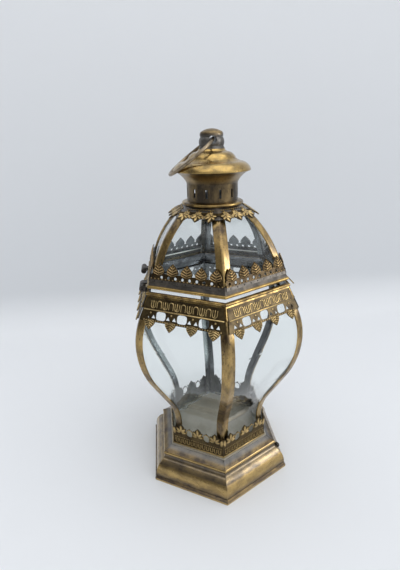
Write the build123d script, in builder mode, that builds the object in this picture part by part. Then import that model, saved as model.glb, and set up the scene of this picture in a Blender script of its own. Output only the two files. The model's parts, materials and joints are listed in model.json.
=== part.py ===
"""Hexagonal metal and glass lantern: plinth, glazed body, hinged dome lid, chimney and carrying ring."""
from build123d import *
import os
from math import asin, cos, hypot, pi, radians, sin, sqrt, tan

os.makedirs("parts", exist_ok=True)

# Driving dimensions, in millimetres and degrees.
# A "half" is the distance from the lantern's axis to the middle of a flat side.
SIDES = 6

# Plinth of six mitred sheet sides, open underneath.
plinth_half = 70.8
plinth_wall = 1.2
mitre_gap = 0.7
foot_flange = 6.0
lip_height = 3.0
groove_depth = 1.8
groove_rise = 1.4
torus_rise = 18.0
torus_set_in = 7.1
torus_swell = 2.6
cove_rise = 5.1
cove_set_in = 2.7
cove_depth = 1.1
shelf_bead_rise = 3.5
shelf_bead_swell = 0.8
shelf_rise = 4.0
seat_margin = 6.6
seat_width = 7.0

# Round-headed screw on the plinth's side.
screw_off_centre = 30.0
screw_along_torus = 0.88
screw_head_r = 2.9
screw_head_height = 2.6
screw_shank_r = 1.5
screw_shank_length = 7.0

# Floor pan and the pierced gallery that stands on it.
pan_wall = 1.2
pan_margin = 0.4
gallery_stand_off = 3.2
gallery_wall = 0.8
gallery_bead_r = 0.9
gallery_band = 16.0
gallery_leaf_pitch = 19.0
gallery_leaf_width = 13.0
gallery_leaf_height = 12.0
gallery_sill = 3.2

# Lower glazing: a straight foot, a flare, a belly and a neck.
glass_foot_half = 44.9
glass_wall = 2.0
glass_seat_gap = 0.1
glass_foot_rise = 25.6
flare_turn = 27.5
foot_bend_r = 59.2
flare_length = 31.0
belly_r = 100.2
neck_r = 70.0
neck_turn = 36.0

# Cap strips over the corners of the glazing.
rib_width = 6.6
rib_wall = 1.0
rib_clearance = 0.15
rib_ridge_r = 3.0

# Flared collar at the top of the body, with its pierced lace.
collar_wall = 1.2
collar_clearance = 0.4
collar_drop = 2.9
collar_height = 10.4
collar_flare = 24.0
rim_bead = 1.45
rim_width = 1.8
lace_wall = 0.7
lace_band = 10.0
lace_end_margin = 1.6
lace_leaf_pitch = 20.4
lace_leaf_width = 13.0
lace_leaf_height = 12.4
lace_leaf_overlap = 5.5
lace_leaves = 4
lace_field = 11.0
lace_window_width = 9.4
lace_window_height = 7.4
lace_window_corner = 2.4
lace_window_drop = 1.5
lace_eye_r = 2.2
lace_eye_step = 3.0
lace_eye_drop = 6.7
seat_gap = 0.05

# Lid frame and its standing cresting.
lid_gap = 3.0
lid_set_in = 1.6
lid_wall = 1.2
lid_lean = 17.1
lid_wall_height = 6.6
lid_flange = 8.5
crest_wall = 0.7
crest_foot = 3.4
crest_band = 8.4
crest_leaf_pitch = 13.4
crest_leaf_width = 11.4
crest_leaf_height = 11.6
crest_leaf_sink = 2.0
crest_eye_r = 1.3
crest_eye_drop = 3.2
leaf_steps = 10
leaf_swell = 0.63

# Dome glazing.
dome_set_in = 3.8
dome_lean = 6.5
dome_r = 98.0
dome_turn = 38.3
foot_trim = 2.0

# Crown plate with its hanging leaves.
crown_wall = 1.1
crown_overhang = 4.0
crown_slope = 32.0
crown_flat_half = 24.3
crown_hole_r = 21.0
crown_leaf_rise = 5.5
crown_leaf_pitch = 12.6
crown_leaf_width = 11.4
crown_leaf_height = 10.5
crown_leaf_band = 3.0
crown_leaf_wall = 0.7

# Chimney, vent cap, finial and carrying ring.
chimney_r = 23.2
chimney_wall = 1.0
chimney_rise = 18.8
chimney_flare_rise = 10.4
chimney_flare = 11.0
flange_r = 28.2
flange_height = 3.6
vents = 12
vent_width = 2.0
vent_height = 7.4
vent_sill = 7.2
vent_turn = 10.0
cap_rim_r = 34.7
cap_wall = 1.1
cap_rim_height = 1.0
cap_cone_rise = 6.6
cap_cone_set_in = 7.2
cap_step_rise = 2.8
cap_step_set_in = 6.1
cap_dome_rise = 5.6
cap_dome_set_in = 7.0
cap_neck_rise = 2.4
cap_neck_set_in = 2.8
cap_cove_depth = 0.5
cap_dome_swell = 1.2
finial_collar_rise = 2.4
finial_collar_set_in = 1.2
finial_bulge_rise = 7.2
finial_bulge_swell = 1.1
finial_waist_set_in = 0.6
finial_knob_rise = 4.4
finial_knob_set_in = 0.6
finial_knob_swell = 0.8
finial_top_rise = 2.6
ring_eye_rise = 7.5
ring_eye_r = 3.3
ring_r = 24.2
ring_wire_r = 1.5
ring_lift = 1.35
ring_clearance = 0.3

# Hinge of two pairs of soldered knuckles, and the thumb tab opposite.
knuckle_r = 2.75
pin_r = 1.2
pin_clearance = 0.1
knuckle_clearance = 0.3
knuckle_length = 7.8
knuckle_end = 33.0
knuckle_gap = 0.2
pin_recess = 1.5
tab_width = 14.0
tab_off_centre = 22.0
tab_wall = 1.0
tab_root = 7.0
tab_clearance = 0.8
tab_length = 10.0
tab_droop = 47.0
tab_corner_r = 3.0

# Values worked out from the driving dimensions.
half_side_angle = 180 / SIDES
side_reach = plinth_half + glass_foot_half
side_plane = Plane.XZ.offset(side_reach)
fold_tolerance = 1e-4


def mitre_plane(corner, set_in=0.0):
    """Upright plane along one corner of the +X side, facing into the side and moved in by set_in."""
    facing = (sin(radians(half_side_angle)), -corner * cos(radians(half_side_angle)), 0)
    return Plane(origin=(0, -corner * set_in, 0), x_dir=(0, 0, 1), z_dir=facing)


def trim_to_side(set_in):
    """Cut the part in hand to the sector of the +X side, short of both corners by set_in."""
    split(bisect_by=mitre_plane(1, set_in), keep=Keep.TOP)
    split(bisect_by=mitre_plane(-1, set_in), keep=Keep.TOP)


def leaning_plane(half, height, lean):
    """Plane on the +X side, x along the side and y up it, leaning in by an angle from upright."""
    outward = (cos(radians(lean)), 0, sin(radians(lean)))
    return Plane(origin=(half, 0, height), x_dir=(0, 1, 0), z_dir=outward)


def leaf_outline(width, height):
    """Pointed leaf with lobed edges, its stalk at the origin and its tip along +Y."""
    edge = ((0.24, 0.0), (0.50, 0.20), (0.37, 0.36), (0.40, 0.50), (0.25, 0.60), (0.26, 0.72))
    right = [(across * width, along * height) for across, along in edge]
    left = [(-across, along) for across, along in reversed(right)]
    return right + [(0, height)] + left


def teardrop_outline(width, height):
    """Pointed leaf with smooth edges, widest a third of the way up, its stalk at the origin."""
    heights = [step / leaf_steps for step in range(leaf_steps)]
    right = [(width / 2 * sin(pi * along**leaf_swell), along * height) for along in heights]
    left = [(-across, along) for across, along in reversed(right[1:])]
    return right + [(0, height)] + left


def draw_leaf(place, base, width, height, outline=leaf_outline):
    """Add one leaf to the sketch in hand. A negative height hangs it."""
    points = outline(width, height)
    Polygon(*[(place + across, base + along) for across, along in points], align=None)


def row(count, pitch):
    """Places of an evenly spaced row about the middle of a side."""
    return [(number - (count - 1) / 2) * pitch for number in range(count)]


def save(piece, name):
    """Label one finished piece and write it."""
    piece.label = name
    export_step(piece, f"parts/{name}.step")


def save_round(master, name):
    """Write one turned copy of a piece for each side of the lantern."""
    for number in range(SIDES):
        with BuildPart() as turned:
            add(master.rotate(Axis.Z, number * 360 / SIDES))
        save(turned.part, f"{name}_{number + 1}")


def ring_of(side):
    """Close six copies of a mitred +X side into one ring."""
    with BuildPart() as ring:
        with PolarLocations(0, SIDES):
            add(side)
    return ring.part


# Plinth
groove_z = lip_height + groove_rise
torus_top_z = groove_z + torus_rise
cove_top_z = torus_top_z + cove_rise
shelf_z = cove_top_z + shelf_bead_rise
seat_z = shelf_z + shelf_rise
groove_half = plinth_half - groove_depth
torus_half = groove_half - torus_set_in
cove_half = torus_half - cove_set_in
seat_half = glass_foot_half + seat_margin

with BuildPart() as plinth_side:
    with BuildSketch(side_plane):
        with BuildLine():
            foot = Polyline(
                (plinth_half - foot_flange, 0),
                (plinth_half, 0),
                (plinth_half, lip_height),
                (groove_half, groove_z),
            )
            torus_middle = (groove_half - torus_set_in / 2 + torus_swell, groove_z + torus_rise / 2)
            torus = ThreePointArc(foot @ 1, torus_middle, (torus_half, torus_top_z))
            cove_middle = (torus_half - cove_set_in / 2 - cove_depth, torus_top_z + cove_rise / 2)
            cove = ThreePointArc(torus @ 1, cove_middle, (cove_half, cove_top_z))
            bead_middle = (cove_half + shelf_bead_swell, cove_top_z + shelf_bead_rise / 2)
            shelf_bead = ThreePointArc(cove @ 1, bead_middle, (cove_half, shelf_z))
            Polyline(shelf_bead @ 1, (seat_half, seat_z), (seat_half - seat_width, seat_z))
            offset(amount=plinth_wall, side=Side.LEFT, kind=Kind.INTERSECTION)
        make_face()
    extrude(amount=-2 * side_reach)
    trim_to_side(mitre_gap / 2)
save_round(plinth_side.part, "plinth_side")

# Screw on the plinth's +X side, square to the torus, and its hole.
screw_seat = torus @ screw_along_torus
screw_run = torus % screw_along_torus
screw_plane = Plane(
    origin=(screw_seat.X, -screw_off_centre, screw_seat.Y),
    x_dir=(0, 1, 0),
    z_dir=(screw_run.Y, 0, -screw_run.X),
)
with BuildPart() as drilled_side:
    add(plinth_side.part)
    with BuildSketch(screw_plane):
        Circle(screw_shank_r + pin_clearance)
    extrude(amount=screw_shank_length, both=True, mode=Mode.SUBTRACT)
save(drilled_side.part, "plinth_side_1")

with BuildPart() as plinth_screw:
    with BuildSketch(screw_plane):
        Circle(screw_shank_r)
    extrude(amount=-screw_shank_length)
    with BuildSketch(screw_plane):
        Circle(screw_head_r)
    extrude(amount=screw_head_height)
    head_edge = plinth_screw.faces().sort_by(Axis(screw_plane.origin, screw_plane.z_dir))[-1].edges()
    fillet(head_edge, screw_head_height * 0.8)
save(plinth_screw.part, "plinth_screw")

# Floor pan
pan_half = seat_half - pan_margin
pan_z = seat_z + pan_wall
with BuildPart() as floor_pan:
    with BuildSketch(Plane.XY.offset(seat_z)):
        RegularPolygon(pan_half, SIDES, major_radius=False, rotation=half_side_angle)
    extrude(amount=pan_wall)
save(floor_pan.part, "floor_pan")

# Gallery: band with a rolled foot, arches and standing leaves, wrapped round the body's foot.
gallery_half = glass_foot_half + gallery_stand_off
with BuildPart() as gallery_face:
    with BuildSketch(leaning_plane(gallery_half, pan_z, 0)):
        Rectangle(2 * gallery_half, gallery_band, align=(Align.CENTER, Align.MIN))
        for place in row(3, gallery_leaf_pitch):
            draw_leaf(place, gallery_band - gallery_sill / 2, gallery_leaf_width, gallery_leaf_height)
        with Locations([(place, gallery_band) for place in row(2, gallery_leaf_pitch)]):
            Circle(gallery_sill, mode=Mode.SUBTRACT)
    extrude(amount=gallery_wall)
    with BuildSketch(side_plane):
        with Locations((gallery_half + gallery_wall, pan_z + gallery_bead_r)):
            Circle(gallery_bead_r)
    extrude(amount=-2 * side_reach)
    trim_to_side(0)
save(ring_of(gallery_face.part), "gallery")

# Lower glazing: foot, flare, belly and neck of one pane, seen from its edge.
foot_z = pan_z + glass_seat_gap
foot_top_z = foot_z + glass_foot_rise
turn = radians(flare_turn)
belly_half = (
    glass_foot_half
    + foot_bend_r * (1 - cos(turn))
    + flare_length * sin(turn)
    + belly_r * (1 - cos(turn))
)
belly_z = foot_top_z + (foot_bend_r + belly_r) * sin(turn) + flare_length * cos(turn)
neck_z = belly_z + neck_r * sin(radians(neck_turn))


def body_line(out):
    """Draw the lower glazing's line, moved out from the glass face. Returns its two ends."""
    straight = Line((glass_foot_half + out, foot_z), (glass_foot_half + out, foot_top_z))
    bend = JernArc(straight @ 1, straight % 1, foot_bend_r - out, -flare_turn)
    flare = PolarLine(bend @ 1, flare_length, direction=bend % 1)
    belly = JernArc(flare @ 1, flare % 1, belly_r + out, flare_turn)
    neck = JernArc(belly @ 1, belly % 1, neck_r + out, neck_turn)
    return straight @ 0, neck @ 1


def dome_line(out):
    """Draw the dome glazing's line from just below its foot, moved out. Returns its two ends."""
    centre = (
        dome_foot_half - dome_r * cos(radians(dome_lean)),
        dome_foot_z - dome_r * sin(radians(dome_lean)),
    )
    arc = CenterArc(centre, dome_r + out, dome_lean - foot_trim, dome_turn + foot_trim)
    return arc @ 0, arc @ 1


def sheet_face(line, inner, outer):
    """Face of a sheet that follows a glazing line between two distances from the glass face."""
    with BuildSketch(side_plane) as sheet:
        with BuildLine():
            inner_ends = line(inner)
            outer_ends = line(outer)
            Line(inner_ends[0], outer_ends[0])
            Line(inner_ends[1], outer_ends[1])
        make_face()
    return sheet.sketch


def make_pane(line, foot):
    """One pane on the +X side, cut level at its foot and short of both corners."""
    face = sheet_face(line, -glass_wall, 0)
    with BuildPart() as pane:
        extrude(face, amount=2 * side_reach, dir=(0, 1, 0))
        split(bisect_by=Plane.XY.offset(foot), keep=Keep.TOP)
        trim_to_side(rib_clearance)
    return pane.part


def is_ridge(edge):
    """Whether an edge of a rib runs along the outside of its fold."""
    corner = mitre_plane(1)
    off_corner = max(abs(corner.to_local_coords(edge @ place).Z) for place in (0, 0.5, 1))
    return off_corner < fold_tolerance and edge.length > 2 * rib_wall and not edge.is_interior


def make_rib(line, foot):
    """Folded cap strip over the corner between the +X side and the next one."""
    face = sheet_face(line, rib_clearance, rib_clearance + rib_wall)
    with BuildPart() as rib:
        extrude(face, amount=2 * side_reach, dir=(0, 1, 0))
        split(bisect_by=Plane.XY.offset(foot), keep=Keep.TOP)
        split(bisect_by=mitre_plane(1), keep=Keep.TOP)
        split(bisect_by=mitre_plane(1, rib_width), keep=Keep.BOTTOM)
        mirror(about=mitre_plane(1))
        ridge = rib.edges().filter_by(is_ridge)
        fillet(ridge, rib_ridge_r)
    return rib.part


save_round(make_pane(body_line, foot_z), "body_pane")
save_round(make_rib(body_line, foot_z), "body_rib")

# Body collar: a flared skirt over the rib ends, with a rolled rim.
skirt_z = neck_z - collar_drop
skirt_top_z = skirt_z + collar_height
rim_z = skirt_top_z + 2 * rim_bead
collar_reach = collar_wall / cos(radians(collar_flare))
rib_out = rib_clearance + rib_wall
rib_half_at_skirt = belly_half - neck_r + sqrt((neck_r + rib_out) ** 2 - (skirt_z - belly_z) ** 2)
skirt_half = rib_half_at_skirt + collar_clearance + collar_reach
skirt_top_half = skirt_half - collar_height * tan(radians(collar_flare))
rim_swell = 0.9 * rim_bead

with BuildPart() as collar_side:
    with BuildSketch(side_plane):
        with BuildLine():
            skirt = Line((skirt_half, skirt_z), (skirt_top_half, skirt_top_z))
            bead_middle = (skirt_top_half + rim_swell, skirt_top_z + rim_bead)
            ThreePointArc(skirt @ 1, bead_middle, (skirt_top_half, rim_z))
            Polyline(
                (skirt_top_half, rim_z),
                (skirt_top_half - rim_width, rim_z),
                (skirt_top_half - rim_width, rim_z - collar_wall),
                (skirt_top_half - collar_reach, rim_z - collar_wall),
                (skirt_top_half - collar_reach, skirt_top_z),
                (skirt_half - collar_reach, skirt_z),
                (skirt_half, skirt_z),
            )
        make_face()
    extrude(amount=-2 * side_reach)
    trim_to_side(0)
body_collar = ring_of(collar_side.part)
save(body_collar, "body_collar")

# Lace: a band on the collar's skirt with a pierced field and hanging leaves below it.
with BuildPart() as lace:
    with BuildSketch(leaning_plane(skirt_half, skirt_z, collar_flare).offset(seat_gap)):
        with Locations((0, -lace_field)):
            Rectangle(2 * skirt_half, lace_field + lace_band, align=(Align.CENTER, Align.MIN))
        leaf_places = row(lace_leaves, lace_leaf_pitch)
        for place in leaf_places:
            draw_leaf(place, lace_leaf_overlap - lace_field, lace_leaf_width, -lace_leaf_height)
        window_z = -lace_window_drop - lace_window_height / 2
        with Locations([(place, window_z) for place in row(lace_leaves - 1, lace_leaf_pitch)]):
            RectangleRounded(lace_window_width, lace_window_height, lace_window_corner, mode=Mode.SUBTRACT)
        eyes = [place + step for place in leaf_places for step in (-lace_eye_step, lace_eye_step)]
        with Locations([(place, -lace_eye_drop) for place in eyes]):
            RegularPolygon(lace_eye_r, 3, rotation=90, mode=Mode.SUBTRACT)
    extrude(amount=lace_wall)
    trim_to_side(lace_end_margin)
save_round(lace.part, "collar_lace")

# Lid frame: a rolled foot, a leaning wall and the flange that carries the dome glass.
lid_z = rim_z + lid_gap
lid_half = skirt_top_half - lid_set_in
lid_wall_z = lid_z + 2 * rim_bead
lid_top_z = lid_wall_z + lid_wall_height
lid_top_half = lid_half - lid_wall_height * tan(radians(lid_lean))
lid_reach = lid_wall / cos(radians(lid_lean))
dome_foot_z = lid_z + lid_wall + glass_seat_gap
dome_foot_half = lid_half - dome_set_in

with BuildPart() as lid_side:
    with BuildSketch(side_plane):
        with BuildLine():
            foot_bead_middle = (lid_half + rim_swell, lid_z + rim_bead)
            ThreePointArc((lid_half, lid_z), foot_bead_middle, (lid_half, lid_wall_z))
            Polyline(
                (lid_half, lid_wall_z),
                (lid_top_half, lid_top_z),
                (lid_top_half - lid_reach, lid_top_z),
                (lid_half - lid_reach, lid_wall_z),
                (lid_half - lid_reach, lid_z + lid_wall),
                (lid_half - lid_flange, lid_z + lid_wall),
                (lid_half - lid_flange, lid_z),
                (lid_half, lid_z),
            )
        make_face()
    extrude(amount=-2 * side_reach)
    trim_to_side(0)
lid_frame = ring_of(lid_side.part)
save(lid_frame, "lid_frame")

# Cresting: a band on the lid's wall with round eyes and standing leaves.
with BuildPart() as crest:
    with BuildSketch(leaning_plane(lid_half, lid_wall_z, lid_lean).offset(seat_gap)):
        with Locations((0, crest_foot)):
            Rectangle(2 * lid_half, crest_band, align=(Align.CENTER, Align.MIN))
        crest_top = crest_foot + crest_band
        for place in row(5, crest_leaf_pitch):
            stalk = crest_top - crest_leaf_sink
            draw_leaf(place, stalk, crest_leaf_width, crest_leaf_height, teardrop_outline)
        with Locations([(place, crest_top - crest_eye_drop) for place in row(10, crest_leaf_pitch / 2)]):
            Circle(crest_eye_r, mode=Mode.SUBTRACT)
    extrude(amount=crest_wall)
    trim_to_side(lace_end_margin)
save_round(crest.part, "lid_crest")

# Dome glazing
save_round(make_pane(dome_line, dome_foot_z), "dome_pane")
save_round(make_rib(dome_line, dome_foot_z), "dome_rib")

# Crown: a sloping hexagonal plate on the rib ends, with a flat top and a round flue.
dome_end_angle = radians(dome_lean + dome_turn)
dome_end_half = dome_foot_half - dome_r * (cos(radians(dome_lean)) - cos(dome_end_angle))
dome_end_z = dome_foot_z + dome_r * (sin(dome_end_angle) - sin(radians(dome_lean)))
crown_rest_half = dome_end_half + rib_out * cos(dome_end_angle)
crown_rest_z = dome_end_z + rib_out * sin(dome_end_angle) + ring_clearance
crown_half = dome_end_half + crown_overhang
crown_pitch = tan(radians(crown_slope))
crown_reach = crown_wall / cos(radians(crown_slope))
crown_edge_z = crown_rest_z - (crown_half - crown_rest_half) * crown_pitch
crown_flat_z = crown_rest_z + (crown_rest_half - crown_flat_half) * crown_pitch
crown_z = crown_flat_z + crown_reach

with BuildPart() as crown_side:
    with BuildSketch(side_plane):
        with BuildLine():
            Polyline(
                (crown_half, crown_edge_z),
                (crown_half, crown_edge_z + crown_reach),
                (crown_flat_half, crown_z),
                (crown_flat_half, crown_flat_z),
                close=True,
            )
        make_face()
    extrude(amount=-2 * side_reach)
    trim_to_side(0)
with BuildPart() as crown:
    add(ring_of(crown_side.part))
    with BuildSketch(Plane.XY.offset(crown_flat_z)):
        RegularPolygon(crown_flat_half, SIDES, major_radius=False, rotation=half_side_angle)
        Circle(crown_hole_r, mode=Mode.SUBTRACT)
    extrude(amount=crown_reach)
save(crown.part, "crown")

# Leaves that lie on the crown's slope and reach past its edge.
crown_face = leaning_plane(crown_half, crown_edge_z + crown_reach, 90 - crown_slope)
with BuildPart() as crown_leaf_side:
    with BuildSketch(crown_face.offset(seat_gap)):
        with Locations((0, crown_leaf_rise)):
            Rectangle(2 * crown_half, crown_leaf_band, align=(Align.CENTER, Align.MAX))
        for place in row(3, crown_leaf_pitch):
            draw_leaf(place, crown_leaf_rise - crown_leaf_band / 2, crown_leaf_width, -crown_leaf_height)
    extrude(amount=crown_leaf_wall)
    trim_to_side(0)
save(ring_of(crown_leaf_side.part), "crown_leaves")

# Chimney: a pierced tube that flares out under the vent cap, and the bead ring at its foot.
flare_z = crown_z + chimney_rise
cap_z = flare_z + chimney_flare_rise
with BuildPart() as chimney:
    with BuildSketch(Plane.XZ):
        with BuildLine():
            tube = Line((chimney_r, crown_z), (chimney_r, flare_z))
            flare_middle = (chimney_r + chimney_flare * 0.32, flare_z + chimney_flare_rise * 0.52)
            ThreePointArc(tube @ 1, flare_middle, (chimney_r + chimney_flare, cap_z))
            offset(amount=chimney_wall, side=Side.LEFT)
        make_face()
    revolve(axis=Axis.Z)
    split(bisect_by=Plane.XY.offset(cap_z), keep=Keep.BOTTOM)
    vent_z = crown_z + vent_sill + vent_height / 2
    with PolarLocations(0, vents, start_angle=vent_turn):
        with Locations((chimney_r, 0, vent_z)):
            Box(4 * chimney_wall, vent_width, vent_height, mode=Mode.SUBTRACT)
save(chimney.part, "chimney")

with BuildPart() as chimney_flange:
    with BuildSketch(Plane.XZ):
        with BuildLine():
            bore = chimney_r + seat_gap
            foot_r = flange_r - flange_height / 4
            Polyline((bore, crown_z + flange_height), (bore, crown_z), (foot_r, crown_z))
            shoulder = (flange_r - flange_height / 2, crown_z + flange_height * 0.8)
            ThreePointArc((foot_r, crown_z), (flange_r, crown_z + flange_height * 0.4), shoulder)
            Line(shoulder, (bore, crown_z + flange_height))
        make_face()
    revolve(axis=Axis.Z)
save(chimney_flange.part, "chimney_flange")

# Vent cap: a spun cone with a step and a small dome, open underneath.
cone_r = cap_rim_r - cap_cone_set_in
cone_z = cap_z + cap_rim_height + cap_cone_rise
step_r = cone_r - cap_step_set_in
step_z = cone_z + cap_step_rise
small_dome_r = step_r - cap_dome_set_in
small_dome_z = step_z + cap_dome_rise
neck_top_r = small_dome_r - cap_neck_set_in
cap_top_z = small_dome_z + cap_neck_rise

cap_foot_r = cone_r - cap_wall + (cone_z - cap_wall - cap_z) * cap_cone_set_in / cap_cone_rise


def cap_line(inset):
    """Draw the cap's line from the top of its cone to the axis, moved in and down by inset."""
    step = SagittaArc((cone_r - inset, cone_z - inset), (step_r - inset, step_z - inset), cap_cove_depth)
    small_dome = SagittaArc(step @ 1, (small_dome_r - inset, small_dome_z - inset), -cap_dome_swell)
    neck = SagittaArc(small_dome @ 1, (neck_top_r - inset, cap_top_z - inset), cap_cove_depth)
    Line(neck @ 1, (0, cap_top_z - inset))
    return [step, small_dome, neck]


with BuildPart() as vent_cap:
    with BuildSketch(Plane.XZ):
        with BuildLine():
            rim = Polyline((cap_rim_r, cap_z), (cap_rim_r, cap_z + cap_rim_height), (cone_r, cone_z))
            cap_profile = Compound(children=[rim] + cap_line(0))
            cap_line(cap_wall)
            Line((0, cap_top_z), (0, cap_top_z - cap_wall))
            Polyline((cone_r - cap_wall, cone_z - cap_wall), (cap_foot_r, cap_z), (cap_rim_r, cap_z))
        make_face()
    revolve(axis=Axis.Z)
save(vent_cap.part, "vent_cap")

# Finial: a turned knob on the cap, cross-drilled for the carrying ring.
finial_r = neck_top_r - finial_collar_set_in
finial_z = cap_top_z + finial_collar_rise
waist_r = finial_r - finial_waist_set_in
waist_z = finial_z + finial_bulge_rise
knob_r = waist_r - finial_knob_set_in
knob_z = waist_z + finial_knob_rise
top_r = (knob_r**2 + finial_top_rise**2) / (2 * finial_top_rise)
top_turn = asin(knob_r / top_r) / 2
eye_z = cap_top_z + ring_eye_rise

with BuildPart() as finial:
    with BuildSketch(Plane.XZ):
        with BuildLine():
            collar = Line((neck_top_r, cap_top_z), (finial_r, finial_z))
            bulge = SagittaArc(collar @ 1, (waist_r, waist_z), -finial_bulge_swell)
            knob = SagittaArc(bulge @ 1, (knob_r, knob_z), -finial_knob_swell)
            knob_top = ThreePointArc(
                knob @ 1,
                (top_r * sin(top_turn), knob_z + finial_top_rise - top_r * (1 - cos(top_turn))),
                (0, knob_z + finial_top_rise),
            )
            Polyline(knob_top @ 1, (0, cap_top_z), collar @ 0)
        make_face()
    revolve(axis=Axis.Z)
    with BuildSketch(Plane.XZ):
        with Locations((0, eye_z)):
            Circle(ring_eye_r)
    extrude(amount=cap_rim_r, both=True, mode=Mode.SUBTRACT)
save(finial.part, "finial")

# Carrying ring: a wire ring through the finial's eye, fallen over until it lies on the cap.
ring_arm = ring_r - ring_lift


def ring_point(drop, around):
    """Distance from the lantern's axis and height of a point on the ring's middle line."""
    along = ring_arm + ring_r * cos(radians(around))
    radius = hypot(along * cos(radians(drop)), ring_r * sin(radians(around)))
    return radius, eye_z - along * sin(radians(drop))


def ring_room(drop):
    """Least gap between the cap and the ring's wire, with the ring tipped down from level by drop."""
    points = [ring_point(drop, around) for around in range(0, 181, 2)]
    return min(cap_profile.distance_to(Vector(radius, height)) for radius, height in points) - ring_wire_r


def find_ring_drop():
    """Angle at which the tipped ring comes to lie just clear of the cap, found by halving."""
    clear, touching = 0.0, 90.0
    for halving in range(20):
        middle = (clear + touching) / 2
        if ring_room(middle) > ring_clearance:
            clear = middle
        else:
            touching = middle
    return clear


ring_drop = find_ring_drop()
ring_away = Vector(-cos(radians(ring_drop)), 0, -sin(radians(ring_drop)))
ring_plane = Plane(
    origin=Vector(0, 0, eye_z) + ring_away * ring_arm,
    x_dir=(0, 1, 0),
    z_dir=ring_away.cross(Vector(0, 1, 0)),
)
with BuildPart() as carrying_ring:
    with Locations(ring_plane):
        Torus(ring_r, ring_wire_r)
save(carrying_ring.part, "carrying_ring")

# Hinge on the -X side: body and lid knuckles in two pairs, each pair on its own pin.
hinge_half = skirt_top_half + rim_swell + knuckle_clearance + knuckle_r
hinge_z = rim_z + lid_gap / 2
body_knuckle_end = knuckle_end - knuckle_length
lid_knuckle_end = body_knuckle_end - knuckle_gap - knuckle_length


def make_knuckles(near_end, web_z, web_height, web_half, carrier):
    """Pair of knuckles, each with a web that is soldered to the bead beside it."""
    with BuildPart() as knuckles:
        with BuildSketch(Plane.XZ.offset(-near_end)):
            with Locations((-hinge_half, hinge_z)):
                Circle(knuckle_r)
            with Locations((-hinge_half, web_z)):
                Rectangle(hinge_half - web_half, web_height, align=(Align.MIN, Align.MIN))
            with Locations((-hinge_half, hinge_z)):
                Circle(pin_r + pin_clearance, mode=Mode.SUBTRACT)
        extrude(amount=-knuckle_length)
        add(carrier, mode=Mode.SUBTRACT)
        mirror(about=Plane.XZ)
    return knuckles.part


web_height = knuckle_r - lid_gap / 2
body_knuckles = make_knuckles(body_knuckle_end, hinge_z - knuckle_r, web_height, skirt_top_half, body_collar)
save(body_knuckles, "hinge_body_knuckles")
lid_knuckles = make_knuckles(lid_knuckle_end, lid_z, web_height, lid_half, lid_frame)
save(lid_knuckles, "hinge_lid_knuckles")

with BuildPart() as hinge_pins:
    with BuildSketch(Plane.XZ.offset(-lid_knuckle_end - pin_recess)):
        with Locations((-hinge_half, hinge_z)):
            Circle(pin_r)
    extrude(amount=lid_knuckle_end - knuckle_end + 2 * pin_recess)
    mirror(about=Plane.XZ)
save(hinge_pins.part, "hinge_pins")

# Lift tab on the +X side: a strip soldered under the lid's foot, bent down past the collar's bead.
tab_z = lid_z - seat_gap
tab_bend_half = skirt_top_half + rim_swell + tab_clearance
with BuildPart() as lift_tab:
    with BuildSketch(Plane.XZ.offset(tab_off_centre + tab_width / 2)):
        with BuildLine():
            root = Line((tab_bend_half - tab_root, tab_z), (tab_bend_half, tab_z))
            PolarLine(root @ 1, tab_length, -tab_droop)
            offset(amount=tab_wall, side=Side.RIGHT, kind=Kind.INTERSECTION)
        make_face()
    extrude(amount=-tab_width)
    tab_tip = lift_tab.faces().sort_by(Axis.X)[-1]
    fillet(tab_tip.edges().sort_by(SortBy.LENGTH)[:2], tab_corner_r)
save(lift_tab.part, "lift_tab")
print(f"ring rests {ring_drop:.2f} degrees below level and swings {180 + 2 * ring_drop:.2f} degrees")
print(f"ring eye height {eye_z:.3f}, hinge axis at x {-hinge_half:.3f}, z {hinge_z:.3f}")
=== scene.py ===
# %% [markdown]
# # A metal and glass lantern
# The lantern is soldered sheet metal over bent glass. Its solids arrive as a fixed frame of named nodes, in
# metres, and each one already has its true size and place. This lesson dresses that frame: it gives every
# node a finish, adds the pressed relief that a stamping tool leaves on thin sheet, and lights the result.

# %% Load the frame
import json
from math import cos, pi, radians, sin
import bpy
from mathutils import Matrix, Vector

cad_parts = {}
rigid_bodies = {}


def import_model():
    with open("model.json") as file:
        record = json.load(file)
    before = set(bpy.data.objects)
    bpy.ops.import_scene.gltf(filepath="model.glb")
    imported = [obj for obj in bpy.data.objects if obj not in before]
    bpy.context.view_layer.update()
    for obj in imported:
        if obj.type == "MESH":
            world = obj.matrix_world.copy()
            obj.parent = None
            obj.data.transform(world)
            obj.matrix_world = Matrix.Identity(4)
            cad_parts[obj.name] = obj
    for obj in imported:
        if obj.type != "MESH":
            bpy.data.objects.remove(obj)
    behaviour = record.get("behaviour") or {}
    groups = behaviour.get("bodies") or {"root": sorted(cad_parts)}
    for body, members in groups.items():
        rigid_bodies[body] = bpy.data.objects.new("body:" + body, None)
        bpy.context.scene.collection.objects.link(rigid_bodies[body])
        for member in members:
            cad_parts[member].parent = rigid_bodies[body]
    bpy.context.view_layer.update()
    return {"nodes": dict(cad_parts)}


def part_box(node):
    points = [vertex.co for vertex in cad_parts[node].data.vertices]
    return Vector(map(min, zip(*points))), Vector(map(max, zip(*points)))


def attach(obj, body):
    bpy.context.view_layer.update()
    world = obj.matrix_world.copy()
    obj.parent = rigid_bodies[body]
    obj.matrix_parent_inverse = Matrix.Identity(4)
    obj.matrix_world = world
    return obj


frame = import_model()
nodes = frame["nodes"]
MM = 0.001

# %% [markdown]
# ## Writing shaders in few lines
# A material is a graph, and building one by hand means many clicks. The helpers below stand for those clicks:
# one adds a node, with its settings and its inputs, one adds a step of arithmetic, and one opens an empty
# group with named sockets. An input takes either a plain value or the output of another node.


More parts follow.
